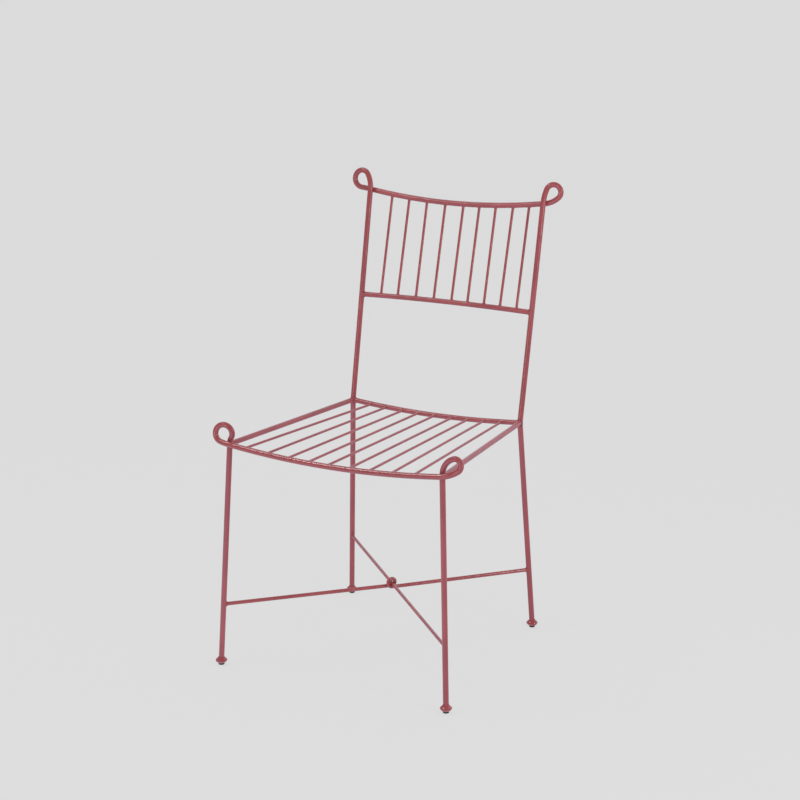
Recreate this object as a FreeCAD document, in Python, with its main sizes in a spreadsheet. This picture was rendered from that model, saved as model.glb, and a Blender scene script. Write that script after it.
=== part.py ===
import FreeCAD, Part
import Sketcher

import math
import os

from FreeCAD import Placement, Rotation, Vector

# A hand-forged side chair: two bent bars make the front and rear frames, and straight and
# sagging bars, thin spindles, thin slats and two crossed stretchers are welded between them.
# Millimetres. +Z is up, the front of the chair faces -Y, and the origin lies on the floor
# under the middle of the overall box.

SIZES = {
    # Bar stock.
    "frame_bar_diameter": 11.0,
    "rail_bar_diameter": 10.5,
    "side_bar_diameter": 10.3,
    "spindle_diameter": 5.3,
    "slat_diameter": 5.0,
    "eyed_stretcher_diameter": 7.5,
    "straight_stretcher_diameter": 6.5,
    # Where the legs stand, and how far the middle of the feet is from the origin.
    "front_foot_spacing": 495.2,
    "rear_foot_spacing": 428.0,
    "foot_stance_depth": 467.8,
    "feet_left_of_origin": 6.5,
    "feet_front_of_origin": 31.6,
    # The seat. The front legs lean back to it, and the rear legs are raked out below it.
    "seat_front_width": 455.2,
    "seat_front_height": 452.8,
    "front_leg_lean": 19.2,
    "front_rail_sag": 13.8,
    "seat_rear_width": 383.0,
    "seat_rear_height": 443.2,
    "rear_leg_rake": 29.1,
    "rear_bend_radius": 60.0,
    "rear_rail_sag": 9.3,
    "side_rail_drop": 2.4,
    "slat_front_rise": 1.6,
    # The back. Heights are measured up from the floor.
    "back_top_width": 390.6,
    "back_top_height": 874.4,
    "back_lean": 85.9,
    "top_rail_sag": 14.5,
    "lower_back_rail_height": 660.7,
    "lower_back_rail_rise": 3.0,
    # Each loop: the radius of its round end, and the place of that end's centre, outward and
    # up from the point where the bar crosses itself.
    "front_left_loop_radius": 16.4,
    "front_left_loop_out": 10.7,
    "front_left_loop_up": 18.6,
    "front_right_loop_radius": 12.2,
    "front_right_loop_out": 27.9,
    "front_right_loop_up": 23.4,
    "back_left_loop_radius": 17.6,
    "back_left_loop_out": 24.2,
    "back_left_loop_up": 20.8,
    "back_right_loop_radius": 14.5,
    "back_right_loop_out": 17.9,
    "back_right_loop_up": 23.9,
    "loop_gap": 0.4,
    # The stretchers. One is turned once round the other.
    "eyed_stretcher_front_height": 125.4,
    "eyed_stretcher_rear_height": 127.1,
    "straight_stretcher_front_height": 128.8,
    "straight_stretcher_rear_height": 134.0,
    "eye_clearance": 0.3,
    "eye_headroom": 1.2,
    # Feet and glides.
    "foot_diameter": 24.0,
    "foot_thickness": 10.4,
    "glide_diameter": 12.5,
    "glide_height": 3.6,
    "glide_chamfer": 0.8,
    # How far a weld bead spreads past the thinner bar of its joint.
    "thin_weld_leg": 1.4,
    "rail_weld_leg": 2.2,
    "stretcher_weld_leg": 2.8,
    "foot_weld_leg": 1.2,
    "foot_weld_height": 3.0,
}

# The spindles and slats were spaced by eye: how far each one stands to the right of its even
# place, from the left to the right.
SPINDLE_TOP_DRIFTS = [7.9, 8.9, 11.0, 14.0, 16.0, 12.8, 10.1, 8.9, 4.7]
SPINDLE_BOTTOM_DRIFTS = [6.6, 6.8, 10.3, 12.6, 14.2, 11.6, 9.8, 7.0, 4.8]
SLAT_REAR_DRIFTS = [6.6, 3.5, 3.9, 1.7, 1.1, 2.3, 0.0, -2.7, -2.6]
SLAT_FRONT_DRIFTS = [-4.5, -2.4, -2.3, -3.6, -7.4, -7.3, -10.7, -9.1, -7.6]

# One arc of a loop turns by no more than this.
LOOP_STEP = math.radians(40)
EYE_STEPS = 8

# The bar stock that each kind of rod is cut from.
ROD_SIZES = {
    "back_spindle": "spindle_diameter",
    "seat_slat": "slat_diameter",
    "lower_back_rail": "rail_bar_diameter",
    "eyed_stretcher": "eyed_stretcher_diameter",
    "straight_stretcher": "straight_stretcher_diameter",
}

LEFT = -1
RIGHT = 1
SIDE_NAMES = {LEFT: "left", RIGHT: "right"}
UP = Vector(0, 0, 1)
DOWN = Vector(0, 0, -1)
FORWARD = Vector(0, -1, 0)
BACKWARD = Vector(0, 1, 0)
ACROSS = Vector(1, 0, 0)

doc = FreeCAD.newDocument("bistro_chair")
sheet = doc.addObject("Spreadsheet::Sheet", "sizes")
for row, (alias, value) in enumerate(SIZES.items(), start=1):
    sheet.set(f"A{row}", alias)
    sheet.set(f"B{row}", str(value))
    sheet.setAlias(f"B{row}", alias)
doc.recompute()

pieces = []


def size(alias):
    """The value that the sheet holds under this alias."""
    return float(sheet.get(alias))


def keep(piece, name):
    """Give a finished piece its name and count it as a sub-part."""
    piece.Label = name
    pieces.append(piece)
    return piece


# The paths of bent bars.


def arc_edge(start, heading, end):
    """The arc from start to end that leaves start along heading, or a line if they agree."""
    chord = end - start
    turn = heading.getAngle(chord)
    if turn < 1e-5:
        return Part.LineSegment(start, end).toShape()
    across = heading - chord * (heading.dot(chord) / chord.dot(chord))
    across.normalize()
    middle = (start + end) * 0.5 + across * (0.5 * chord.Length * math.tan(0.5 * turn))
    return Part.Arc(start, middle, end).toShape()


def biarc_edges(start, start_heading, end, end_heading):
    """Two arcs that leave start and reach end along the given headings, and meet smoothly."""
    span = end - start
    both = start_heading + end_heading
    bend = 2 * (1 - start_heading.dot(end_heading))
    if bend < 1e-9:
        reach = span.dot(span) / (4 * span.dot(end_heading))
    else:
        along = span.dot(both)
        reach = (math.sqrt(along * along + bend * span.dot(span)) - along) / bend
    first_corner = start + start_heading * reach
    last_corner = end - end_heading * reach
    middle = (first_corner + last_corner) * 0.5
    middle_heading = (last_corner - first_corner).normalize()
    return [arc_edge(start, start_heading, middle), arc_edge(middle, middle_heading, end)]


def smooth_edges(stations):
    """Arcs through a list of (point, heading) stations."""
    edges = []
    for (start, start_heading), (end, end_heading) in zip(stations, stations[1:]):
        edges += biarc_edges(start, start_heading, end, end_heading)
    return edges


class BendingPlane:
    """The flat plane that a frame is bent in, with its own across and up directions."""

    def __init__(self, base, top, facing):
        self.base = base
        self.up = (top - base).normalize()
        self.normal = ACROSS.cross(self.up).normalize()
        if self.normal.dot(facing) < 0:
            self.normal = self.normal * -1

    def rise(self, height):
        """How far up the plane a height above the floor lies."""
        return (height - self.base.z) / self.up.z

    def point(self, across, rise, shift=0.0):
        return self.base + ACROSS * across + self.up * rise + self.normal * shift

    def heading(self, across, rise, shift=0.0):
        return (ACROSS * across + self.up * rise + self.normal * shift).normalize()


def arc_stations(centre, start, end, turn):
    """Points, headings and lengths along a flat arc, after its start. turn is 1 or -1."""
    radius = math.hypot(start[0] - centre[0], start[1] - centre[1])
    first = math.atan2(start[1] - centre[1], start[0] - centre[0])
    last = math.atan2(end[1] - centre[1], end[0] - centre[0])
    sweep = ((last - first) * turn) % (2 * math.pi)
    count = max(1, math.ceil(sweep / LOOP_STEP))
    stations = []
    for step in range(1, count + 1):
        angle = first + turn * sweep * step / count
        point = (centre[0] + radius * math.cos(angle), centre[1] + radius * math.sin(angle))
        heading = (-turn * math.sin(angle), turn * math.cos(angle))
        stations.append((point, heading, radius * sweep / count))
    return stations


def blend_arc(crossing, heading, inward, centre, radius):
    """The centre, contact point and turn of the arc from a bar's line to its loop's round end."""
    offset = (centre[0] - crossing[0], centre[1] - crossing[1])
    depth = offset[0] * inward[0] + offset[1] * inward[1]
    along = offset[0] * heading[0] + offset[1] * heading[1]
    blend = (depth * depth + along * along - radius * radius) / (2 * (depth - radius))
    middle = (crossing[0] + inward[0] * blend, crossing[1] + inward[1] * blend)
    gap = (centre[0] - middle[0], centre[1] - middle[1])
    scale = abs(blend) / math.hypot(gap[0], gap[1])
    contact = (middle[0] + gap[0] * scale, middle[1] + gap[1] * scale)
    return middle, contact, 1 if blend > 0 else -1


def loop_stations(plane, side, crossing, rail_angle, leg_heading, loop, shift):
    """Stations from the rail, round the loop and back to the crossing on the leg's own line."""
    radius = size(loop + "_radius")
    centre = (crossing[0] + size(loop + "_out"), crossing[1] + size(loop + "_up"))
    rail_heading = (math.cos(rail_angle), math.sin(rail_angle))
    rail_inward = (-rail_heading[1], rail_heading[0])
    leg_inward = (leg_heading[1], -leg_heading[0])
    rail_middle, rail_contact, rail_turn = blend_arc(
        crossing, rail_heading, rail_inward, centre, radius)
    leg_middle, leg_contact, leg_turn = blend_arc(
        crossing, leg_heading, leg_inward, centre, radius)
    flat = [(crossing, rail_heading, 0.0)]
    flat += arc_stations(rail_middle, crossing, rail_contact, rail_turn)
    flat += arc_stations(centre, rail_contact, leg_contact, 1)
    flat += arc_stations(leg_middle, leg_contact, crossing, leg_turn)
    total = sum(length for point, heading, length in flat)
    stations = []
    travelled = 0.0
    for point, heading, length in flat:
        travelled += length
        share = travelled / total
        sideways = shift * (1 - share * share * (3 - 2 * share))
        slope = -shift * 6 * share * (1 - share) / total
        place = plane.point(side * point[0], point[1], sideways)
        direction = plane.heading(side * heading[0], heading[1], slope)
        stations.append((place, direction))
    return stations


def sag_angle(half_span, sag):
    """The slope of a sagging arc at its ends."""
    return 2 * math.atan(sag / half_span)


# The joint points that the pieces share.

loop_shift = size("frame_bar_diameter") + size("loop_gap")
centre_x = -size("feet_left_of_origin")
front_foot_y = -0.5 * size("foot_stance_depth") - size("feet_front_of_origin")
rear_foot_y = 0.5 * size("foot_stance_depth") - size("feet_front_of_origin")
seat_front_y = front_foot_y + size("front_leg_lean")
seat_rear_y = rear_foot_y - size("rear_leg_rake")
back_top_y = seat_rear_y + size("back_lean")
seat_front_half = 0.5 * size("seat_front_width")
seat_rear_half = 0.5 * size("seat_rear_width")
back_top_half = 0.5 * size("back_top_width")
foot_top = size("glide_height") + size("foot_thickness")

front_plane = BendingPlane(
    Vector(centre_x, front_foot_y, 0),
    Vector(centre_x, seat_front_y, size("seat_front_height")),
    FORWARD,
)
back_plane = BendingPlane(
    Vector(centre_x, seat_rear_y, size("seat_rear_height")),
    Vector(centre_x, back_top_y, size("back_top_height")),
    BACKWARD,
)
seat_front_rise = front_plane.rise(size("seat_front_height"))
back_top_rise = back_plane.rise(size("back_top_height"))


def front_leg_point(side, height):
    """A point on a front leg's centre line, at a height above the floor."""
    half = 0.5 * size("front_foot_spacing")
    half += (seat_front_half - half) * height / size("seat_front_height")
    return front_plane.point(side * half, front_plane.rise(height))


def side_rail_front(side):
    """Where a side rail's axis meets the front leg's, a little below the loop's crossing."""
    return front_leg_point(side, size("seat_front_height") - size("side_rail_drop"))


def rear_leg_point(side, height):
    """A point on a rear leg's centre line, below the seat."""
    share = height / size("seat_rear_height")
    half = 0.5 * size("rear_foot_spacing")
    half += (seat_rear_half - half) * share
    return Vector(centre_x + side * half, rear_foot_y + (seat_rear_y - rear_foot_y) * share, height)


def upright_point(side, height):
    """A point on an upright's centre line, between the seat and the top rail."""
    climb = size("back_top_height") - size("seat_rear_height")
    share = (height - size("seat_rear_height")) / climb
    half = seat_rear_half + (back_top_half - seat_rear_half) * share
    return back_plane.point(side * half, back_plane.rise(height))


def rear_bend(side):
    """The ends of the bend at the seat, and the middle of its arc."""
    corner = rear_leg_point(side, size("seat_rear_height"))
    upward = (upright_point(side, size("back_top_height")) - corner).normalize()
    downward = (rear_leg_point(side, 0) - corner).normalize()
    half_turn = 0.5 * (math.pi - upward.getAngle(downward))
    reach = size("rear_bend_radius") * math.tan(half_turn)
    sink = size("rear_bend_radius") * (1 / math.cos(half_turn) - 1)
    middle = corner + (upward + downward).normalize() * sink
    return corner + upward * reach, corner + downward * reach, middle


def sagged(start, end, middle_drop, share):
    """A point on the flat arc from start to end whose middle lies lower by middle_drop."""
    half = 0.5 * (end - start).Length
    radius = (half * half + middle_drop * middle_drop) / (2 * middle_drop)
    across = (2 * share - 1) * half
    drop = math.copysign(math.sqrt(radius * radius - across * across), radius)
    drop -= radius - middle_drop
    return start + (end - start) * share - UP * drop


# Helpers that add document objects.


def bent_bar(name, edges, diameter, seam_side):
    """A round bar swept along a chain of edges, with its seam on the side that no joint uses."""
    wire = Part.Wire(Part.sortEdges(edges)[0])
    path = doc.addObject("Part::Feature", name + "_path")
    path.Shape = wire
    first = wire.OrderedEdges[0]
    start = wire.OrderedVertexes[0].Point
    section = doc.addObject("Part::Circle", name + "_section")
    section.setExpression("Radius", f"sizes.{diameter} / 2")
    heading = first.tangentAt(first.Curve.parameter(start))
    section.Placement = Placement(start, Rotation(seam_side, Vector(), heading, "ZXY"))
    bar = doc.addObject("Part::Sweep", name + "_bar")
    bar.Sections = [section]
    bar.Spine = (path, [])
    bar.Solid = True
    bar.Frenet = False
    return bar


def straight_bar(name, start, end, diameter):
    """A round bar between two points."""
    bar = doc.addObject("Part::Cylinder", name + "_bar")
    bar.setExpression("Radius", f"sizes.{diameter} / 2")
    bar.Height = (end - start).Length
    bar.Placement = Placement(start, Rotation(UP, end - start))
    return bar


def cut(name, base, tools):
    """The base with each tool cut away from it in turn."""
    result = base
    for number, tool in enumerate(tools, start=1):
        step = doc.addObject("Part::Cut", f"{name}_cut_{number}")
        step.Base = result
        step.Tool = tool
        result = step
    return result


def weld_ball(name, centre, along, diameter, leg, turned=0):
    """The ball of weld metal round a joint, before the bars are cut out of it. Its poles lie
    along the rod that it holds, inside the metal of the bars, and turning it about them, in
    degrees, brings its seam clear of the bars' own seams."""
    ball = doc.addObject("Part::Sphere", name + "_ball")
    ball.setExpression("Radius", f"sizes.{diameter} / 2 + sizes.{leg}")
    ball.Placement = Placement(centre, Rotation(UP, along) * Rotation(UP, turned))
    return ball


def weld_bead(name, centre, along, diameter, leg, bars, turned=0):
    """What a ball of weld metal leaves outside the bars that it joins."""
    return cut(name, weld_ball(name, centre, along, diameter, leg, turned), bars)


def group(name, members):
    """Several separate solids as one object."""
    together = doc.addObject("Part::Compound", name)
    together.Links = members
    return together


# The two bent frames.


def foot_level_block():
    """All the space below the tops of the feet, where the frame bars end."""
    room = 2 * (size("front_foot_spacing") + size("foot_stance_depth"))
    block = doc.addObject("Part::Box", "foot_level_block")
    block.Length = room
    block.Width = room
    block.Height = room
    block.Placement.Base = Vector(-0.5 * room, -0.5 * room, foot_top - room)
    return block


def front_crossing(side, shift):
    return front_plane.point(side * seat_front_half, seat_front_rise, shift)


def back_crossing(side, shift):
    return back_plane.point(side * back_top_half, back_top_rise, shift)


def front_frame(block):
    """Both front legs, both loops and the front seat rail, bent from one bar."""
    middle = front_plane.point(0, seat_front_rise - size("front_rail_sag"), loop_shift)
    ends = (front_crossing(LEFT, loop_shift), front_crossing(RIGHT, loop_shift))
    edges = [Part.Arc(ends[0], middle, ends[1]).toShape()]
    leg = (seat_front_half - 0.5 * size("front_foot_spacing"), seat_front_rise)
    leg_length = math.hypot(leg[0], leg[1])
    leg_heading = (leg[0] / leg_length, leg[1] / leg_length)
    slope = sag_angle(seat_front_half, size("front_rail_sag"))
    for side, side_name in SIDE_NAMES.items():
        stations = loop_stations(
            front_plane, side, (seat_front_half, seat_front_rise), slope, leg_heading,
            f"front_{side_name}_loop", loop_shift)
        edges += smooth_edges(stations)
        edges.append(Part.LineSegment(stations[-1][0], front_leg_point(side, 0)).toShape())
    bar = bent_bar("front_frame", edges, "frame_bar_diameter", FORWARD)
    return keep(cut("front_frame", bar, [block]), "front_frame")


def rear_frame(block):
    """Both rear legs, both uprights, both loops and the top rail, bent from one bar."""
    middle = back_plane.point(0, back_top_rise - size("top_rail_sag"), loop_shift)
    ends = (back_crossing(LEFT, loop_shift), back_crossing(RIGHT, loop_shift))
    edges = [Part.Arc(ends[0], middle, ends[1]).toShape()]
    upright = (back_top_half - seat_rear_half, back_top_rise)
    upright_length = math.hypot(upright[0], upright[1])
    upright_heading = (upright[0] / upright_length, upright[1] / upright_length)
    slope = sag_angle(back_top_half, size("top_rail_sag"))
    for side, side_name in SIDE_NAMES.items():
        stations = loop_stations(
            back_plane, side, (back_top_half, back_top_rise), slope, upright_heading,
            f"back_{side_name}_loop", loop_shift)
        upper, lower, bend_middle = rear_bend(side)
        edges += smooth_edges(stations)
        edges.append(Part.LineSegment(stations[-1][0], upper).toShape())
        edges.append(Part.Arc(upper, bend_middle, lower).toShape())
        edges.append(Part.LineSegment(lower, rear_leg_point(side, 0)).toShape())
    bar = bent_bar("rear_frame", edges, "frame_bar_diameter", BACKWARD)
    return keep(cut("rear_frame", bar, [block]), "rear_frame")


# The rails between the frames.


def rear_rail_point(share):
    """A point on the rear seat rail's centre line, from its left end to its right end."""
    left = rear_bend(LEFT)[2]
    right = rear_bend(RIGHT)[2]
    return sagged(left, right, size("rear_rail_sag"), share)


def rear_seat_rail(frame):
    path = Part.Arc(rear_rail_point(0), rear_rail_point(0.5), rear_rail_point(1)).toShape()
    bar = bent_bar("rear_seat_rail", [path], "rail_bar_diameter", BACKWARD)
    return keep(cut("rear_seat_rail", bar, [frame]), "rear_seat_rail")


def side_seat_rail(side, front, rear, rear_rail):
    """A straight bar, its ends shaped to the front leg, the rear bend and the rear rail."""
    name = f"{SIDE_NAMES[side]}_seat_rail"
    bar = straight_bar(name, side_rail_front(side), rear_bend(side)[2], "side_bar_diameter")
    return keep(cut(name, bar, [front, rear, rear_rail]), name)


def lower_rail_point(share):
    """A point on the lower back rail's centre line, from its left end to its right end."""
    left = upright_point(LEFT, size("lower_back_rail_height"))
    right = upright_point(RIGHT, size("lower_back_rail_height"))
    flat = sagged(left, right, -size("lower_back_rail_rise"), share)
    return back_plane.point(flat.x - centre_x, back_plane.rise(flat.z))


def lower_back_rail(frame):
    path = Part.Arc(lower_rail_point(0), lower_rail_point(0.5), lower_rail_point(1)).toShape()
    bar = bent_bar("lower_back_rail", [path], "rail_bar_diameter", DOWN)
    return keep(cut("lower_back_rail", bar, [frame]), "lower_back_rail")


# The thin rods of the back and the seat.


def even_place(number, count, width, drift):
    """How far to the right of the middle a rod stands, when count rods share a width."""
    return width * (number / (count + 1) - 0.5) + drift


def arc_height(half_span, sag, across):
    """How far an arc's point lies above its lowest one."""
    radius = (half_span * half_span + sag * sag) / (2 * sag)
    return radius - math.sqrt(radius * radius - across * across)


def top_rail_point(across):
    rise = back_top_rise - size("top_rail_sag")
    rise += arc_height(back_top_half, size("top_rail_sag"), across)
    return back_plane.point(across, rise, loop_shift)


def front_rail_point(across):
    rise = seat_front_rise - size("front_rail_sag")
    rise += arc_height(seat_front_half, size("front_rail_sag"), across)
    return front_plane.point(across, rise, loop_shift)


def spindle_ends():
    """The two ends of each spindle, on the top rail's axis and on the lower rail's."""
    width = size("back_top_width")
    count = len(SPINDLE_TOP_DRIFTS)
    ends = []
    drifts = zip(SPINDLE_TOP_DRIFTS, SPINDLE_BOTTOM_DRIFTS)
    for number, (top_drift, bottom_drift) in enumerate(drifts, start=1):
        top_across = even_place(number, count, width, top_drift)
        bottom_across = even_place(number, count, width, bottom_drift)
        bottom = lower_rail_point(bottom_across / width + 0.5)
        ends.append((top_rail_point(top_across), bottom))
    return ends


def slat_ends():
    """The two ends of each slat, just above the front rail's axis and on the rear rail's."""
    count = len(SLAT_FRONT_DRIFTS)
    ends = []
    drifts = zip(SLAT_FRONT_DRIFTS, SLAT_REAR_DRIFTS)
    for number, (front_drift, rear_drift) in enumerate(drifts, start=1):
        front_across = even_place(number, count, size("seat_front_width"), front_drift)
        rear_across = even_place(number, count, size("seat_rear_width"), rear_drift)
        rear_end = rear_rail_point(rear_across / size("seat_rear_width") + 0.5)
        front_end = front_rail_point(front_across) + UP * size("slat_front_rise")
        ends.append((front_end, rear_end))
    return ends


def back_spindles(frame, rail):
    """Thin rods, their ends shaped to the top rail and the lower back rail."""
    spindles = []
    for number, (top, bottom) in enumerate(spindle_ends(), start=1):
        name = f"back_spindle_{number}"
        bar = straight_bar(name, bottom, top, "spindle_diameter")
        spindles.append(keep(cut(name, bar, [frame, rail]), name))
    return spindles


def seat_slats(front, rail):
    """Thin rods, their ends shaped to the front rail and the rear rail at mid height."""
    slats = []
    for number, (front_end, rear_end) in enumerate(slat_ends(), start=1):
        name = f"seat_slat_{number}"
        bar = straight_bar(name, front_end, rear_end, "slat_diameter")
        slats.append(keep(cut(name, bar, [front, rail]), name))
    return slats


# The crossed stretchers.


def stretcher_ends():
    """The ends of the eyed stretcher and of the straight one, on the legs' centre lines."""
    eyed = (front_leg_point(LEFT, size("eyed_stretcher_front_height")),
            rear_leg_point(RIGHT, size("eyed_stretcher_rear_height")))
    straight = (rear_leg_point(LEFT, size("straight_stretcher_rear_height")),
                front_leg_point(RIGHT, size("straight_stretcher_front_height")))
    return eyed, straight


def crossing_point(eyed, straight):
    """The point on the straight stretcher's axis that lies above the eyed one's line."""
    first = eyed[1] - eyed[0]
    second = straight[1] - straight[0]
    gap = straight[0] - eyed[0]
    share = (gap.x * first.y - gap.y * first.x) / (first.x * second.y - first.y * second.x)
    return straight[0] + second * share


def eyed_stretcher(front, rear):
    """A rod that makes one full turn round the straight stretcher, and runs on."""
    ends, straight = stretcher_ends()
    centre = crossing_point(ends, straight)
    axis = (straight[1] - straight[0]).normalize()
    forward = UP.cross(axis).normalize()
    upward = axis.cross(forward)
    thickness = size("eyed_stretcher_diameter")
    touching = 0.5 * (size("straight_stretcher_diameter") + thickness)
    radius = touching + 0.5 * (size("eye_clearance") + size("eye_headroom"))
    centre += upward * (radius - touching - size("eye_clearance"))
    pitch = thickness + size("eye_clearance")
    turn = []
    for step in range(EYE_STEPS + 1):
        share = step / EYE_STEPS
        angle = 2 * math.pi * share
        advance = pitch * (share * share * (3 - 2 * share) - 0.5)
        slope = pitch * 6 * share * (1 - share)
        place = centre + forward * (radius * math.sin(angle)) - upward * (radius * math.cos(angle))
        heading = forward * math.cos(angle) + upward * math.sin(angle)
        heading = (heading * (2 * math.pi * radius) + axis * slope).normalize()
        turn.append((place + axis * advance, heading))
    approach = (turn[0][0] - ends[0]).normalize()
    leave = (ends[1] - turn[-1][0]).normalize()
    turn[0] = (turn[0][0], approach)
    turn[-1] = (turn[-1][0], leave)
    edges = [Part.LineSegment(ends[0], turn[0][0]).toShape()]
    edges += smooth_edges(turn)
    edges.append(Part.LineSegment(turn[-1][0], ends[1]).toShape())
    bar = bent_bar("eyed_stretcher", edges, "eyed_stretcher_diameter", UP)
    return keep(cut("eyed_stretcher", bar, [front, rear]), "eyed_stretcher")


def straight_stretcher(front, rear):
    ends = stretcher_ends()[1]
    bar = straight_bar("straight_stretcher", ends[0], ends[1], "straight_stretcher_diameter")
    return keep(cut("straight_stretcher", bar, [front, rear]), "straight_stretcher")


# Feet and glides, turned about an upright axis under each leg.


def body_plane(body, role):
    return next(item for item in body.Origin.OriginFeatures if item.Role == role)


def body_sketch(body, name, role):
    sketch = body.newObject("Sketcher::SketchObject", name)
    sketch.AttachmentSupport = (body_plane(body, role), [""])
    sketch.MapMode = "FlatFace"
    return sketch


def foot(name, place):
    """A pressed ball foot: a thick disc with a full round edge, flat where it meets bar and glide."""
    body = doc.addObject("PartDesign::Body", name)
    sketch = body_sketch(body, name + "_profile", "XZ_Plane")
    half = 0.5 * size("foot_thickness")
    reach = 0.5 * size("foot_diameter") - half
    low = size("glide_height")
    middle = Vector(reach, low + half, 0)
    round_edge = Part.Circle(middle, Vector(0, 0, 1), half)
    sketch.addGeometry([
        Part.LineSegment(Vector(0, low, 0), Vector(reach, low, 0)),
        Part.ArcOfCircle(round_edge, -0.5 * math.pi, 0.5 * math.pi),
        Part.LineSegment(Vector(reach, low + 2 * half, 0), Vector(0, low + 2 * half, 0)),
        Part.LineSegment(Vector(0, low + 2 * half, 0), Vector(0, low, 0)),
    ], False)
    sketch.addConstraint([
        Sketcher.Constraint("Tangent", 0, 2, 1, 1),
        Sketcher.Constraint("Tangent", 1, 2, 2, 1),
        Sketcher.Constraint("Coincident", 2, 2, 3, 1),
        Sketcher.Constraint("Coincident", 3, 2, 0, 1),
        Sketcher.Constraint("Horizontal", 0),
        Sketcher.Constraint("Horizontal", 2),
        Sketcher.Constraint("PointOnObject", 0, 1, -2),
        Sketcher.Constraint("PointOnObject", 2, 2, -2),
    ])
    bound = {
        "edge_radius": (Sketcher.Constraint("Radius", 1, half), "sizes.foot_thickness / 2"),
        "reach": (Sketcher.Constraint("DistanceX", -1, 1, 1, 3, reach),
                  "(sizes.foot_diameter - sizes.foot_thickness) / 2"),
        "low_face": (Sketcher.Constraint("DistanceY", -1, 1, 0, 1, low), "sizes.glide_height"),
    }
    for label, (constraint, expression) in bound.items():
        index = sketch.addConstraint(constraint)
        sketch.renameConstraint(index, label)
        sketch.setExpression(f"Constraints.{label}", expression)
    turned = body.newObject("PartDesign::Revolution", name + "_turned")
    turned.Profile = sketch
    turned.ReferenceAxis = (sketch, ["V_Axis"])
    turned.Angle = 360
    body.Placement.Base = place
    return keep(body, name)


def glide(name, place):
    """A small round glide with a chamfered lower edge."""
    body = doc.addObject("PartDesign::Body", name)
    sketch = body_sketch(body, name + "_outline", "XY_Plane")
    radius = 0.5 * size("glide_diameter")
    sketch.addGeometry(Part.Circle(Vector(0, 0, 0), Vector(0, 0, 1), radius), False)
    sketch.addConstraint(Sketcher.Constraint("Coincident", 0, 3, -1, 1))
    index = sketch.addConstraint(Sketcher.Constraint("Radius", 0, radius))
    sketch.renameConstraint(index, "radius")
    sketch.setExpression("Constraints.radius", "sizes.glide_diameter / 2")
    disc = body.newObject("PartDesign::Pad", name + "_disc")
    disc.Profile = sketch
    disc.setExpression("Length", "sizes.glide_height")
    doc.recompute()
    lowest = min(disc.Shape.Edges, key=lambda edge: edge.CenterOfMass.z)
    index = next(number for number, edge in enumerate(disc.Shape.Edges, start=1)
                 if edge.isSame(lowest))
    eased = body.newObject("PartDesign::Chamfer", name + "_eased")
    eased.Base = (disc, [f"Edge{index}"])
    eased.setExpression("Size", "sizes.glide_chamfer")
    body.Placement.Base = place
    return keep(body, name)


def foot_places():
    """Each foot's name and the point on the floor under the bar that stands on it."""
    middle = size("glide_height") + 0.5 * size("foot_thickness")
    places = {}
    for side, side_name in SIDE_NAMES.items():
        places[f"front_{side_name}"] = front_leg_point(side, middle)
        places[f"rear_{side_name}"] = rear_leg_point(side, middle)
    return {name: Vector(point.x, point.y, 0) for name, point in places.items()}


# Weld beads. Each is what a ball of metal at the joint leaves outside the bars it joins.


def surface_point(axis_point, towards, diameter):
    """Where the line from a bar's axis towards a point leaves that bar."""
    return axis_point + (towards - axis_point).normalize() * (0.5 * size(diameter))


def loop_welds(front, rear):
    """A tack between the two strands at each of the four loop crossings."""
    beads = []
    for side, side_name in SIDE_NAMES.items():
        beads.append(weld_bead(
            f"front_{side_name}_tack", front_crossing(side, 0.5 * loop_shift), front_plane.normal,
            "slat_diameter", "rail_weld_leg", [front]))
        beads.append(weld_bead(
            f"back_{side_name}_tack", back_crossing(side, 0.5 * loop_shift), back_plane.normal,
            "slat_diameter", "rail_weld_leg", [rear]))
    return keep(group("loop_welds", beads), "loop_welds")


def seat_corner_welds(front, rear, rear_rail, side_rails):
    """Beads where the side rails meet the front legs, and where three bars meet at the rear."""
    beads = []
    for (side, side_name), side_rail in zip(SIDE_NAMES.items(), side_rails):
        front_end = side_rail_front(side)
        rear_end = rear_bend(side)[2]
        name = f"{side_name}_corner"
        near = surface_point(front_end, rear_end, "frame_bar_diameter")
        beads.append(weld_bead(
            name + "_front", near, rear_end - front_end, "side_bar_diameter", "rail_weld_leg",
            [front, side_rail], turned=45))
        across = rear_rail_point(0.5) - rear_end
        side_face = surface_point(rear_end, front_end, "frame_bar_diameter")
        rear_face = surface_point(rear_end, rear_end + across, "frame_bar_diameter")
        corner = doc.addObject("Part::MultiFuse", name + "_metal")
        corner.Shapes = [
            weld_ball(name + "_side", side_face, front_end - rear_end, "side_bar_diameter",
                      "rail_weld_leg"),
            weld_ball(name + "_cross", rear_face, across, "rail_bar_diameter", "rail_weld_leg"),
        ]
        beads.append(cut(name + "_rear", corner, [rear, rear_rail, side_rail]))
    return keep(group("seat_corner_welds", beads), "seat_corner_welds")


def rod_beads(name, rod, ends, bars, bar_diameters, leg):
    """The beads at the two ends of a rod: ends lie on the axes of the bars that it meets."""
    beads = []
    joints = zip(ends, reversed(ends), bars, bar_diameters)
    for number, (end, other_end, bar, bar_diameter) in enumerate(joints, start=1):
        centre = surface_point(end, other_end, bar_diameter)
        diameter = ROD_SIZES[name.rstrip("_0123456789")]
        beads.append(weld_bead(
            f"{name}_bead_{number}", centre, other_end - end, diameter, leg, [bar, rod]))
    return beads


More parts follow.
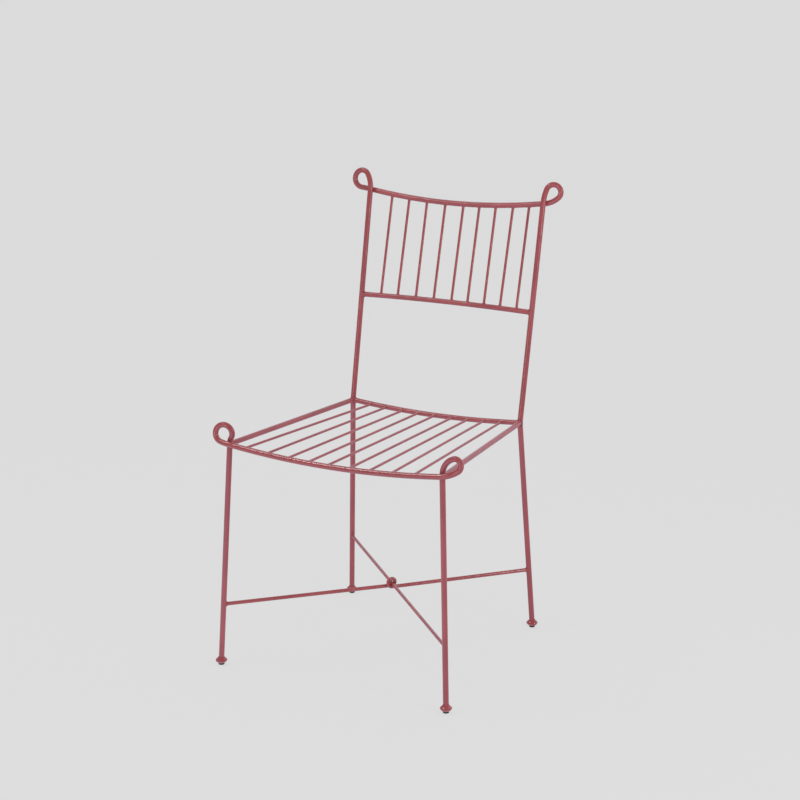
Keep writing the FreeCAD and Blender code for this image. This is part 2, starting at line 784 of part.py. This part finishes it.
def back_welds(frame, rail, spindles):
    """Beads at both ends of the spindles and of the lower back rail."""
    beads = []
    bars = (frame, rail)
    bar_diameters = ("frame_bar_diameter", "rail_bar_diameter")
    for number, (spindle, ends) in enumerate(zip(spindles, spindle_ends()), start=1):
        name = f"back_spindle_{number}"
        beads += rod_beads(name, spindle, ends, bars, bar_diameters, "thin_weld_leg")
    ends = (lower_rail_point(0), lower_rail_point(1))
    bar_diameters = ("frame_bar_diameter", "frame_bar_diameter")
    beads += rod_beads("lower_back_rail", rail, ends, (frame, frame), bar_diameters, "rail_weld_leg")
    return keep(group("back_welds", beads), "back_welds")


def slat_welds(front, rail, slats):
    """Beads at both ends of the seat slats."""
    beads = []
    bars = (front, rail)
    bar_diameters = ("frame_bar_diameter", "rail_bar_diameter")
    for number, (slat, ends) in enumerate(zip(slats, slat_ends()), start=1):
        name = f"seat_slat_{number}"
        beads += rod_beads(name, slat, ends, bars, bar_diameters, "thin_weld_leg")
    return keep(group("slat_welds", beads), "slat_welds")


def stretcher_welds(front, rear, eyed, straight):
    """Beads where the stretchers meet the legs."""
    bar_diameters = ("frame_bar_diameter", "frame_bar_diameter")
    eyed_ends, straight_ends = stretcher_ends()
    beads = rod_beads(
        "eyed_stretcher", eyed, eyed_ends, (front, rear), bar_diameters, "stretcher_weld_leg")
    beads += rod_beads(
        "straight_stretcher", straight, straight_ends, (rear, front), bar_diameters,
        "stretcher_weld_leg")
    return keep(group("stretcher_welds", beads), "stretcher_welds")


def foot_welds(front, rear):
    """A tapered bead round each bar where it stands on its foot."""
    cones = []
    for side, side_name in SIDE_NAMES.items():
        for end, leg_point in (("front", front_leg_point), ("rear", rear_leg_point)):
            cone = doc.addObject("Part::Cone", f"{end}_{side_name}_foot_bead")
            cone.setExpression("Radius1", "sizes.frame_bar_diameter / 2 + sizes.foot_weld_leg")
            cone.setExpression("Radius2", "sizes.frame_bar_diameter / 2 + sizes.loop_gap")
            cone.setExpression("Height", "sizes.foot_weld_height")
            cone.Placement.Base = leg_point(side, foot_top)
            cones.append(cone)
    return keep(cut("foot_welds", group("foot_beads", cones), [front, rear]), "foot_welds")


# Build the chair.

block = foot_level_block()
front = front_frame(block)
rear = rear_frame(block)
rear_rail = rear_seat_rail(rear)
side_rails = [side_seat_rail(side, front, rear, rear_rail) for side in SIDE_NAMES]
back_rail = lower_back_rail(rear)
spindles = back_spindles(rear, back_rail)
slats = seat_slats(front, rear_rail)
eyed = eyed_stretcher(front, rear)
straight = straight_stretcher(front, rear)
for place_name, place in foot_places().items():
    foot(place_name + "_foot", place)
    glide(place_name + "_glide", place)
loop_welds(front, rear)
seat_corner_welds(front, rear, rear_rail, side_rails)
back_welds(rear, back_rail, spindles)
slat_welds(front, rear_rail, slats)
stretcher_welds(front, rear, eyed, straight)
foot_welds(front, rear)

doc.recompute()

# Check every object, then write one file for each sub-part.

for item in doc.Objects:
    if "Invalid" in item.State or "Error" in item.State:
        raise RuntimeError(f"{item.Name} failed: {item.State}")
for piece in pieces:
    if piece.Shape.isNull() or not piece.Shape.isValid():
        raise RuntimeError(f"{piece.Label} has no valid shape")

os.makedirs("parts", exist_ok=True)
for piece in pieces:
    piece.Shape.exportStep(f"parts/{piece.Label}.step")
    print(f"{piece.Label}: {len(piece.Shape.Solids)} solid, {piece.Shape.Volume / 1000:.2f} cm3")
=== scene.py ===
# A hand-forged iron side chair in brick-red paint, standing on a pale studio floor.
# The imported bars, rails, spindles and slats keep their shapes and get a painted finish here.
# The weld beads, the ball feet and the glides are modelled here over their solids.
import math

import bpy
import numpy as np
from mathutils import Euler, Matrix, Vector, noise
from mathutils.bvhtree import BVHTree


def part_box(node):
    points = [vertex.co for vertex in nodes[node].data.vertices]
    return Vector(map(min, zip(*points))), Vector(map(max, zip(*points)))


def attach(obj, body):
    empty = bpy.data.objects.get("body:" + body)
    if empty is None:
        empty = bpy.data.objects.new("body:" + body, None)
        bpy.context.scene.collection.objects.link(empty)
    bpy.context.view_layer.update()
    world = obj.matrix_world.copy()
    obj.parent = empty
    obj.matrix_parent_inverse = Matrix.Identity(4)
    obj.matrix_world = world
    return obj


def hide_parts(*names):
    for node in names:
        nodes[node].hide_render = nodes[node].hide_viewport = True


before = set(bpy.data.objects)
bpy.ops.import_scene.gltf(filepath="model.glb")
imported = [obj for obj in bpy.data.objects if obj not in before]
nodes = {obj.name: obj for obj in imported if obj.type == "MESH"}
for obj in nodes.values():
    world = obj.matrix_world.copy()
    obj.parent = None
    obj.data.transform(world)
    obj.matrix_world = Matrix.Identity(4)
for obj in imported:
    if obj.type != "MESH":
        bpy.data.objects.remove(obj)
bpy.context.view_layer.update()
scene = bpy.context.scene
scene.view_settings.view_transform = "Standard"
scene.view_settings.look = "None"

# Camera: in front of the chair, to its right-hand corner, and a little above the back.
camera = bpy.data.objects.new("camera", bpy.data.cameras.new("camera"))
camera.location = (1.7068, -3.2255, 1.4877)
camera.rotation_euler = Euler((math.radians(74.96), 0, math.radians(27.81)))
camera.data.sensor_width = 36
camera.data.lens = 86.64
camera.data.shift_x = -0.000625
camera.data.shift_y = 0.000625
camera.data.clip_end = 200
scene.collection.objects.link(camera)
scene.camera = camera


class Value:
    """A shader socket that takes part in ordinary arithmetic."""

    def __init__(self, tree, socket):
        self.tree = tree
        self.socket = socket

    def make(self, kind, output=0, inputs=(), **settings):
        """The output of a new node, fed with sockets and plain numbers by input name."""
        node = self.tree.nodes.new("ShaderNode" + kind)
        for name, setting in settings.items():
            setattr(node, name, setting)
        for name, value in dict(inputs).items():
            if isinstance(value, Value):
                self.tree.links.new(value.socket, node.inputs[name])
            else:
                node.inputs[name].default_value = value
        return Value(self.tree, node.outputs[output])

    def maths(self, operation, first, second=0.0):
        return self.make("Math", 0, {0: first, 1: second}, operation=operation)

    def __add__(self, other):
        return self.maths("ADD", self, other)

    __radd__ = __add__

    def __sub__(self, other):
        return self.maths("SUBTRACT", self, other)

    def __rsub__(self, other):
        return self.maths("SUBTRACT", other, self)

    def __mul__(self, other):
        return self.maths("MULTIPLY", self, other)

    __rmul__ = __mul__

    def noise(self, scale, detail=2.0, rough=0.5):
        return self.make("TexNoise", "Fac", {
            "Vector": self, "Scale": scale, "Detail": detail, "Roughness": rough})

    def step(self, low, high):
        """0 below low, 1 above high, and a smooth ramp between them."""
        return self.make("MapRange", "Result", {
            "Value": self, "From Min": low, "From Max": high}, interpolation_type="SMOOTHSTEP")

    def between(self, first, second):
        """The colour that lies this far from the first colour to the second."""
        return self.make("Mix", 2, {0: self, 6: first, 7: second}, data_type="RGBA")

    def bump(self, distance, below=None):
        inputs = {"Height": self, "Distance": distance}
        if below is not None:
            inputs["Normal"] = below
        return self.make("Bump", 0, inputs)


# Floor: a plain pale sweep. It keeps the soft shadows under the feet, and its brightness
# towards the front is what the upright bars mirror.
mesh = bpy.data.meshes.new("floor")
mesh.from_pydata([(-60, -60, 0), (60, -60, 0), (60, 60, 0), (-60, 60, 0)], [], [(0, 1, 2, 3)])
floor = bpy.data.objects.new("floor", mesh)
scene.collection.objects.link(floor)
FLOOR_SEEN = 0.645
FLOOR_LIGHT = (0.74, 0.84)
floor_paint = bpy.data.materials.new("floor")
floor_paint.use_nodes = True
tree = floor_paint.node_tree
shader = tree.nodes["Principled BSDF"]
shader.inputs["Base Color"].default_value = (0.085, 0.085, 0.085, 1)
shader.inputs["Roughness"].default_value = 0.9
shader.inputs["Specular IOR Level"].default_value = 0.0
shader.inputs["Emission Strength"].default_value = 1.0
start = Value(tree, None)
place = start.make("NewGeometry", "Position")
away = place.make("VectorMath", "Value", {0: place, 1: (-0.45, -1.25, 0.0)}, operation="DISTANCE")
pool = (1 - away.step(0.5, 1.6)) * 0.45 + 0.50
camera_ray = start.make("LightPath", "Is Camera Ray")
glossy_ray = start.make("LightPath", "Is Glossy Ray")
warm = camera_ray * FLOOR_SEEN + glossy_ray * pool + (1 - camera_ray - glossy_ray) * FLOOR_LIGHT[0]
cool = (camera_ray * FLOOR_SEEN + glossy_ray * pool * 1.22
        + (1 - camera_ray - glossy_ray) * FLOOR_LIGHT[1])
tint = start.make("CombineColor", 0, {0: warm, 1: warm, 2: cool})
tree.links.new(tint.socket, shader.inputs["Emission Color"])
mesh.materials.append(floor_paint)

# Studio: pale walls for the camera. For the paint's reflections the wall behind the chair is
# bright and slightly blue, and the room in front of it dim.
WALL_SEEN = 0.723
WALL_LIGHT = 0.76
world = bpy.data.worlds.new("studio")
scene.world = world
world.use_nodes = True
tree = world.node_tree
start = Value(tree, None)
camera_ray = start.make("LightPath", "Is Camera Ray")
glossy_ray = start.make("LightPath", "Is Glossy Ray")
heading = start.make("TexCoord", "Generated")
behind = start.make("SeparateXYZ", 1, {0: heading}).step(0.10, 0.55)
mirrored = behind * 0.62 + 0.17
others = (1 - camera_ray - glossy_ray) * WALL_LIGHT
warm = camera_ray * WALL_SEEN + glossy_ray * mirrored + others
cool = camera_ray * WALL_SEEN + glossy_ray * mirrored * 1.12 + others
tint = start.make("CombineColor", 0, {0: warm, 1: warm, 2: cool})
tree.links.new(tint.socket, tree.nodes["Background"].inputs["Color"])

# Soft boxes: a long one overhead to the left, and upright ones in front and on the right.
SEAT_MIDDLE = Vector((0, 0, 0.6))
for name, place, wide, high, power in (
        ("overhead_box", (-1.35, -0.95, 2.75), 0.8, 0.20, 11),
        ("front_box", (-0.80, -3.9, 0.95), 0.45, 1.0, 14),
        ("right_box", (2.50, -0.65, 1.40), 0.30, 1.1, 15)):
    data = bpy.data.lights.new(name, "AREA")
    data.shape = "RECTANGLE"
    data.size = wide
    data.size_y = high
    data.energy = power
    lamp = bpy.data.objects.new(name, data)
    lamp.location = place
    lamp.rotation_euler = (SEAT_MIDDLE - lamp.location).to_track_quat("-Z", "Y").to_euler()
    scene.collection.objects.link(lamp)

# The painted bars. The paint is a little uneven in colour and gloss, the forged surface under
# it is faintly wavy, and the faces that look up are lightened toward pale pink: a trace of dust and
# a painted sheen of the overhead light.
paint = bpy.data.materials.new("brick_red_paint")
paint.use_nodes = True
tree = paint.node_tree
shader = tree.nodes["Principled BSDF"]
place = Value(tree, None).make("TexCoord", "Object")
mottle = place.noise(14, 3).step(0.3, 0.7)
speckle = place.noise(900, 1).step(0.35, 0.75)
upward = place.make("SeparateXYZ", 2, {0: place.make("NewGeometry", "Normal")}).step(0.35, 0.95)
worn = place.noise(70, 4, 0.65).step(0.66, 0.72)
colour = mottle.between((0.300, 0.052, 0.056, 1), (0.355, 0.066, 0.070, 1))
colour = (speckle * 0.22).between(colour, (0.245, 0.040, 0.044, 1))
# Painted sheen and dust: up-facing faces are mixed a little toward a pale pink, partly dust and
# partly the overhead light painted into the colour.
colour = (upward * place.noise(38, 3).step(0.35, 0.7) * 0.10).between(colour, (0.42, 0.27, 0.26, 1))
colour = (worn * 0.35).between(colour, (0.190, 0.034, 0.036, 1))
tree.links.new(colour.socket, shader.inputs["Base Color"])
gloss = 0.20 + 0.09 * place.noise(42, 3) + 0.06 * speckle + 0.10 * worn + 0.05 * upward
tree.links.new(gloss.socket, shader.inputs["Roughness"])
hammered = place.noise(52, 2).bump(0.0016)
peel = place.noise(620, 2).bump(0.00010, hammered)
tree.links.new(peel.socket, shader.inputs["Normal"])
shader.inputs["Coat Weight"].default_value = 0.5
shader.inputs["Coat Roughness"].default_value = 0.07
for name, node in nodes.items():
    if name.endswith(("_welds", "_foot", "_glide")):
        continue
    node.data.materials.clear()
    node.data.materials.append(paint)
    for face in node.data.polygons:
        face.use_smooth = True

# The weld beads: the same paint, thicker, over rippled weld metal.
weld_paint = bpy.data.materials.new("painted_weld")
weld_paint.use_nodes = True
tree = weld_paint.node_tree
shader = tree.nodes["Principled BSDF"]
place = Value(tree, None).make("TexCoord", "Object")
grain = place.noise(1100, 3)
colour = place.noise(160, 3).step(0.3, 0.7).between(
    (0.275, 0.046, 0.050, 1), (0.345, 0.064, 0.068, 1))
tree.links.new(colour.socket, shader.inputs["Base Color"])
tree.links.new((0.22 + 0.16 * grain).socket, shader.inputs["Roughness"])
tree.links.new(place.noise(520, 3).bump(0.00025).socket, shader.inputs["Normal"])
shader.inputs["Specular IOR Level"].default_value = 0.6

surfaces = {}
for name in ("front_frame", "rear_frame", "lower_back_rail", "rear_seat_rail"):
    data = nodes[name].data
    surfaces[name] = BVHTree.FromPolygons(
        [vertex.co for vertex in data.vertices], [face.vertices for face in data.polygons])

back_joints = [("lower_back_rail", 10.5, "rear_frame", "rear_frame", 2.6)]
slat_joints = []
for number in range(1, 10):
    back_joints.append((f"back_spindle_{number}", 5.3, "rear_frame", "lower_back_rail", 1.7))
    slat_joints.append((f"seat_slat_{number}", 5.0, "front_frame", "rear_seat_rail", 1.7))
joints = {
    "back_welds": back_joints,
    "slat_welds": slat_joints,
    "seat_corner_welds": [
        ("left_seat_rail", 10.3, "front_frame", "rear_frame", 2.4),
        ("right_seat_rail", 10.3, "front_frame", "rear_frame", 2.4),
        ("rear_seat_rail", 10.5, "rear_frame", "rear_frame", 2.4)],
    "stretcher_welds": [
        ("eyed_stretcher", 7.5, "front_frame", "rear_frame", 2.8),
        ("straight_stretcher", 6.5, "front_frame", "rear_frame", 2.8)],
}
ROUND = 44          # points round a rod
ACROSS = 7          # points from the rod down the fillet to the bar
NEAR_END = 0.045    # the stretch of rod, in metres, whose surface gives its axis at an end
SUNK = 0.00012      # how far a fillet's edges go into the metal
for group, rods in joints.items():
    points = []
    faces = []
    for rod, diameter, first_bar, last_bar, leg in rods:
        radius = diameter / 2000
        cloud = np.array([vertex.co for vertex in nodes[rod].data.vertices])
        spread = cloud - cloud.mean(axis=0)
        run = np.linalg.svd(spread, full_matrices=False)[2][0]
        along = spread @ run
        for end, sign in (("low", -1), ("high", 1)):
            near = cloud[(along * sign) > (along * sign).max() - NEAR_END]
            if len(near) < 12:
                near = cloud
            centre = near.mean(axis=0)
            axis = run.copy()
            # The rod's own axis at this end: the line at one radius from its surface.
            for step in range(12):
                reach = (near - centre) @ axis
                radial = (near - centre) - np.outer(reach, axis)
                distance = np.linalg.norm(radial, axis=1)
                unit = radial / distance[:, None]
                across = np.cross(axis, [0.3, 0.5, 0.8])
                across /= np.linalg.norm(across)
                over = np.cross(axis, across)
                slopes = np.stack([unit @ across, unit @ over,
                                   reach * (unit @ across), reach * (unit @ over)], axis=1)
                move = np.linalg.lstsq(slopes, distance - radius, rcond=1e-4)[0]
                centre = centre + across * move[0] + over * move[1]
                axis = axis + across * move[2] + over * move[3]
                axis /= np.linalg.norm(axis)
            reach = (near - centre) @ axis
            tip = Vector(centre + axis * (reach.max() if sign > 0 else reach.min()))
            inward = Vector(axis * -sign)
            nearest = {}
            for bar in {first_bar, last_bar}:
                nearest[bar] = surfaces[bar].find_nearest(tip)[3]
            bar = min(nearest, key=nearest.get)
            side = inward.cross(Vector((0.3, 0.5, 0.8))).normalized()
            rise = inward.cross(side)
            base = len(points)
            for turn in range(ROUND):
                angle = 2 * math.pi * turn / ROUND
                outward = side * math.cos(angle) + rise * math.sin(angle)
                high = tip + outward * (radius * 0.97) + inward * (4 * radius)
                root = surfaces[bar].ray_cast(high, -inward, 9 * radius)[0]
                if root is None:
                    root = surfaces[bar].find_nearest(tip + outward * radius)[0]
                uneven = 1 + 0.30 * noise.noise((tip + outward * 0.004) * 260)
                spread_out = leg / 1000 * uneven
                toe, toe_normal = surfaces[bar].find_nearest(root + outward * spread_out)[:2]
                toe = toe - toe_normal * SUNK
                heel = root + inward * spread_out - outward * SUNK + outward * (radius * 0.03)
                bulge = root + (outward + inward) * (0.30 * spread_out)
                ripple = 0.00013 * math.sin(angle * round(radius * 2 * math.pi / 0.0011))
                for station in range(ACROSS):
                    share = station / (ACROSS - 1)
                    point = (heel * (1 - share) ** 2 + bulge * (2 * share * (1 - share))
                             + toe * share ** 2)
                    point += (outward + inward).normalized() * (ripple * math.sin(math.pi * share))
                    points.append(point)
                points.append(root - outward * 0.0006 - inward * 0.0006)
            for turn in range(ROUND):
                here = base + turn * (ACROSS + 1)
                there = base + (turn + 1) % ROUND * (ACROSS + 1)
                for station in range(ACROSS + 1):
                    after = (station + 1) % (ACROSS + 1)
                    faces.append((here + station, there + station, there + after, here + after))
    mesh = bpy.data.meshes.new(group)
    mesh.from_pydata(points, [], faces)
    mesh.update()
    for face in mesh.polygons:
        face.use_smooth = True
    beads = bpy.data.objects.new(group + "_beads", mesh)
    scene.collection.objects.link(beads)
    mesh.materials.append(weld_paint)
    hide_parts(group)
    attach(beads, "root")

# The tacks in the loops: a small lump of weld metal between the two strands at each crossing.
TACK = 0.0042
TACK_RINGS = 14
TACK_TURNS = 28
cloud = [vertex.co for vertex in nodes["loop_welds"].data.vertices]
points = []
faces = []
for right in (False, True):
    for above in (False, True):
        corner = [co for co in cloud if (co.x > 0) == right and (co.z > 0.6) == above]
        middle = Vector([(min(co[axis] for co in corner) + max(co[axis] for co in corner)) / 2
                         for axis in range(3)])
        base = len(points)
        for ring in range(1, TACK_RINGS):
            tilt = math.pi * ring / TACK_RINGS
            for turn in range(TACK_TURNS):
                angle = 2 * math.pi * turn / TACK_TURNS
                ray = Vector((math.sin(tilt) * math.cos(angle), math.cos(tilt),
                              math.sin(tilt) * math.sin(angle)))
                lump = TACK * (1 + 0.10 * noise.noise(ray * 1.7 + middle * 90))
                lump += 0.00014 * math.sin(12 * angle)
                points.append(middle + ray * lump)
        points += [middle + Vector((0, TACK, 0)), middle - Vector((0, TACK, 0))]
        for ring in range(TACK_RINGS - 2):
            for turn in range(TACK_TURNS):
                here = base + ring * TACK_TURNS + turn
                there = base + ring * TACK_TURNS + (turn + 1) % TACK_TURNS
                faces.append((here, here + TACK_TURNS, there + TACK_TURNS, there))
        last = base + (TACK_RINGS - 2) * TACK_TURNS
        front_pole = base + (TACK_RINGS - 1) * TACK_TURNS
        for turn in range(TACK_TURNS):
            after = (turn + 1) % TACK_TURNS
            faces.append((front_pole, base + turn, base + after))
            faces.append((front_pole + 1, last + after, last + turn))
mesh = bpy.data.meshes.new("loop_welds")
mesh.from_pydata(points, [], faces)
for face in mesh.polygons:
    face.use_smooth = True
tacks = bpy.data.objects.new("loop_welds_tacks", mesh)
scene.collection.objects.link(tacks)
mesh.materials.append(weld_paint)
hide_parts("loop_welds")
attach(tacks, "root")

# The ball feet: hot bar pressed to a saucer with a hammered skirt, and glides moulded to a
# shallow dome below them. A small weld collar joins each leg's end to its foot. The pairs of
# numbers are radii and heights in millimetres.
foot_paint = paint.copy()
foot_paint.name = "brick_red_foot_paint"
tree = foot_paint.node_tree
shader = tree.nodes["Principled BSDF"]
place = Value(tree, None).make("TexCoord", "Object")
height = place.make("SeparateXYZ", 2, {0: place})
scrape = place.noise(420, 4, 0.7) + (1 - height.step(0.004, 0.009)) * 0.16
bare = scrape.step(0.66, 0.71)
painted = Value(tree, shader.inputs["Base Color"].links[0].from_socket)
tree.links.new((bare * 0.8).between(painted, (0.060, 0.040, 0.036, 1)).socket,
               shader.inputs["Base Color"])
tree.links.new((0.15 + 0.4 * bare).socket, shader.inputs["Roughness"])
plastic = bpy.data.materials.new("black_glide")
plastic.use_nodes = True
tree = plastic.node_tree
shader = tree.nodes["Principled BSDF"]
place = Value(tree, None).make("TexCoord", "Object")
scuff = place.noise(380, 5, 0.7)
low = 1 - place.make("SeparateXYZ", 2, {0: place}).step(0.0002, 0.0016)
colour = (scuff.step(0.45, 0.75) * (0.25 + 0.6 * low)).between(
    (0.012, 0.012, 0.014, 1), (0.075, 0.073, 0.072, 1))
tree.links.new(colour.socket, shader.inputs["Base Color"])
tree.links.new((0.42 + 0.3 * scuff).socket, shader.inputs["Roughness"])
tree.links.new(place.noise(1500, 2).bump(0.00006).socket, shader.inputs["Normal"])
FOOT = ((5.7, 17.0), (6.3, 15.8), (7.7, 14.2), (9.7, 12.4), (11.4, 11.0), (12.0, 9.6),
        (11.7, 8.2), (10.6, 6.8), (8.9, 5.3), (7.3, 4.1), (6.3, 3.6), (3.0, 3.6))
GLIDE = ((3.0, 3.8), (5.9, 3.8), (6.2, 3.5), (6.25, 2.6), (6.25, 1.5), (5.9, 0.8), (5.2, 0.25),
         (4.2, 0.0), (2.0, 0.0))
FOOT_TURNS = 24
COLLAR_TURNS = 44
COLLAR_STATIONS = 8
LEG_END = 0.0142    # the lowest part of a leg, in metres above the floor
collars = []
collar_faces = []
for end in ("front", "rear"):
    for side in ("left", "right"):
        low_corner, high_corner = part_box(f"{end}_{side}_foot")
        middle = Vector([(low_corner[0] + high_corner[0]) / 2,
                         (low_corner[1] + high_corner[1]) / 2, 0])
        seed = middle * 37
        for name, profile, uneven, material, slot in (
                (f"{end}_{side}_foot", FOOT, 0.35, foot_paint, "paint"),
                (f"{end}_{side}_glide", GLIDE, 0.0, plastic, "glide")):
            points = []
            faces = []
            for radius, height in profile:
                for turn in range(FOOT_TURNS):
                    angle = 2 * math.pi * turn / FOOT_TURNS
                    ray = Vector((math.cos(angle), math.sin(angle), 0))
                    skirt = max(0.0, radius - 6) / 6
                    dent = uneven * skirt * (noise.noise(ray * 1.6 + seed)
                                             + 0.5 * math.cos(5 * angle + seed.x) - 0.55)
                    points.append(middle + ray * ((radius + dent) / 1000)
                                  + Vector((0, 0, height / 1000)))
            count = len(profile)
            points += [middle + Vector((0, 0, profile[0][1] / 1000)),
                       middle + Vector((0, 0, profile[-1][1] / 1000))]
            top = count * FOOT_TURNS
            last = (count - 1) * FOOT_TURNS
            for turn in range(FOOT_TURNS):
                after = (turn + 1) % FOOT_TURNS
                for ring in range(count - 1):
                    upper = ring * FOOT_TURNS
                    lower = upper + FOOT_TURNS
                    faces.append((upper + turn, lower + turn, lower + after, upper + after))
                faces.append((top, turn, after))
                faces.append((top + 1, last + after, last + turn))
            mesh = bpy.data.meshes.new(name)
            mesh.from_pydata(points, [], faces)
            for face in mesh.polygons:
                face.use_smooth = True
            piece = bpy.data.objects.new(name + "_formed", mesh)
            scene.collection.objects.link(piece)
            rounding = piece.modifiers.new("rounding", "SUBSURF")
            rounding.levels = 2
            rounding.render_levels = 2
            mesh.materials.append(material)
            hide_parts(name)
            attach(piece, "root")
        rim = [vertex.co for vertex in nodes[end + "_frame"].data.vertices
               if vertex.co.z < LEG_END and (vertex.co.xy - middle.xy).length < 0.02]
        centre = Vector([(min(co[axis] for co in rim) + max(co[axis] for co in rim)) / 2
                         for axis in range(2)] + [0])
        base = len(collars)
        for turn in range(COLLAR_TURNS):
            angle = 2 * math.pi * turn / COLLAR_TURNS
            ray = Vector((math.cos(angle), math.sin(angle), 0))
            swell = 1 + 0.12 * noise.noise(ray * 2 + seed) + 0.05 * math.sin(22 * angle)
            for station in range(COLLAR_STATIONS):
                bend = 2 * math.pi * station / COLLAR_STATIONS
                reach = 5.5 + 0.50 * swell * math.cos(bend)
                height = 16.7 + 0.65 * swell * math.sin(bend)
                collars.append(centre + ray * (reach / 1000) + Vector((0, 0, height / 1000)))
        for turn in range(COLLAR_TURNS):
            for station in range(COLLAR_STATIONS):
                here = base + turn * COLLAR_STATIONS
                there = base + (turn + 1) % COLLAR_TURNS * COLLAR_STATIONS
                after = (station + 1) % COLLAR_STATIONS
                collar_faces.append((here + station, there + station, there + after, here + after))
mesh = bpy.data.meshes.new("foot_welds")
mesh.from_pydata(collars, [], collar_faces)
for face in mesh.polygons:
    face.use_smooth = True
collar = bpy.data.objects.new("foot_welds_collars", mesh)
scene.collection.objects.link(collar)
mesh.materials.append(weld_paint)
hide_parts("foot_welds")
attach(collar, "root")
